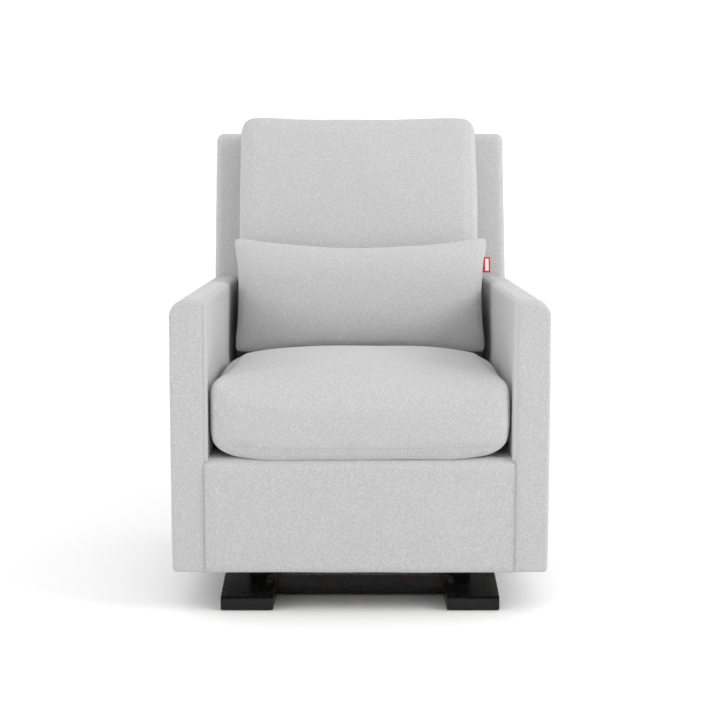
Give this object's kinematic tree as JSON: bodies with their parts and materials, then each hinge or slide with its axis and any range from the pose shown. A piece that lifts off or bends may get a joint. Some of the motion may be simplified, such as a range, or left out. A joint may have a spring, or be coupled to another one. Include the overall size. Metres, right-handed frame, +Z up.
{
  "type": "glider nursery chair",
  "caption": "Upholstered nursery armchair on a black runner base; the seat unit glides on hanging links; loose seat cushion and lumbar pillow.",
  "frame": {"origin": "on the floor, at the middle of the bottom of the chair's outline at rest", "axes": "+Z up, the chair faces -Y, +X towards the right-hand arm as seen from the front"},
  "size_m": [0.76, 0.94, 1.0241],
  "materials": {
    "black_wood": "satin",
    "pad_rubber": "matte",
    "black_steel": "satin",
    "fastener": "satin",
    "pin_steel": "satin",
    "bearing_nylon": "satin",
    "frame_wood": "matte",
    "spring_steel": "satin",
    "webbing": "matte",
    "grey_fabric": "matte",
    "foam": "matte",
    "dust_cloth": "matte",
    "label_red": "matte"
  },
  "bodies": {
    "floor_base": {"left_runner": "black_wood", "right_runner": "black_wood", "front_crossbar": "black_wood", "rear_crossbar": "black_wood", "floor_pads": "pad_rubber", "base_bolts": "fastener", "front_left_stand": "black_steel", "front_right_stand": "black_steel", "rear_left_stand": "black_steel", "rear_right_stand": "black_steel", "stand_bolts": "fastener", "upper_pivot_pins": "pin_steel", "upper_pin_caps": "pin_steel", "stop_bumpers": "pad_rubber"},
    "front_links": {"front_left_link": "black_steel", "front_right_link": "black_steel", "front_link_bearings": "bearing_nylon"},
    "rear_links": {"rear_left_link": "black_steel", "rear_right_link": "black_steel", "rear_link_bearings": "bearing_nylon"},
    "chair": {"front_left_hanger": "black_steel", "front_right_hanger": "black_steel", "rear_left_hanger": "black_steel", "rear_right_hanger": "black_steel", "hanger_bolts": "fastener", "lower_pivot_pins": "pin_steel", "lower_pin_caps": "pin_steel", "left_side_rail": "frame_wood", "right_side_rail": "frame_wood", "front_board": "frame_wood", "rear_board": "frame_wood", "corner_blocks": "frame_wood", "seat_springs": "spring_steel", "seat_deck": "grey_fabric", "left_arm_frame": "frame_wood", "right_arm_frame": "frame_wood", "arm_bolts": "fastener", "left_arm_cover": "grey_fabric", "right_arm_cover": "grey_fabric", "front_cover": "grey_fabric", "left_back_post": "frame_wood", "right_back_post": "frame_wood", "left_wing_frame": "frame_wood", "right_wing_frame": "frame_wood", "back_top_rail": "frame_wood", "back_mid_rail": "frame_wood", "back_bottom_rail": "frame_wood", "back_webbing": "webbing", "back_cover": "grey_fabric", "rear_cover": "grey_fabric", "inside_back_cover": "grey_fabric", "back_cushion_cover": "grey_fabric", "back_cushion_core": "foam", "dust_cover": "dust_cloth"},
    "seat_cushion": {"seat_cushion_cover": "grey_fabric", "seat_cushion_core": "foam"},
    "lumbar_pillow": {"pillow_cover": "grey_fabric", "pillow_fill": "foam", "pillow_label": "label_red"}
  },
  "joints": [
    {"name": "glide", "type": "hinge", "parent": "floor_base", "child": "front_links", "pos_m": [0, -0.21, 0.255], "axis": [1, 0, 0], "range_deg": [-18, 18]},
    {"name": "chair_hang", "type": "hinge", "parent": "front_links", "child": "chair", "pos_m": [0, -0.21, 0.105], "axis": [1, 0, 0], "range_deg": [-18, 18]},
    {"name": "rear_link_swing", "type": "hinge", "parent": "floor_base", "child": "rear_links", "pos_m": [0, 0.1299, 0.255], "axis": [1, 0, 0], "range_deg": [-18, 18]},
    {"name": "seat_cushion_pull", "type": "slide", "parent": "chair", "child": "seat_cushion", "axis": [0, -1, 0], "range_m": [0, 0.35]},
    {"name": "pillow_lift", "type": "slide", "parent": "chair", "child": "lumbar_pillow", "axis": [0, -0.5, 0.866], "range_m": [0, 0.3]}
  ],
  "couplings": [
    {"joint": "chair_hang", "follows": "glide", "ratio": -1},
    {"joint": "rear_link_swing", "follows": "glide", "ratio": 1}
  ]
}
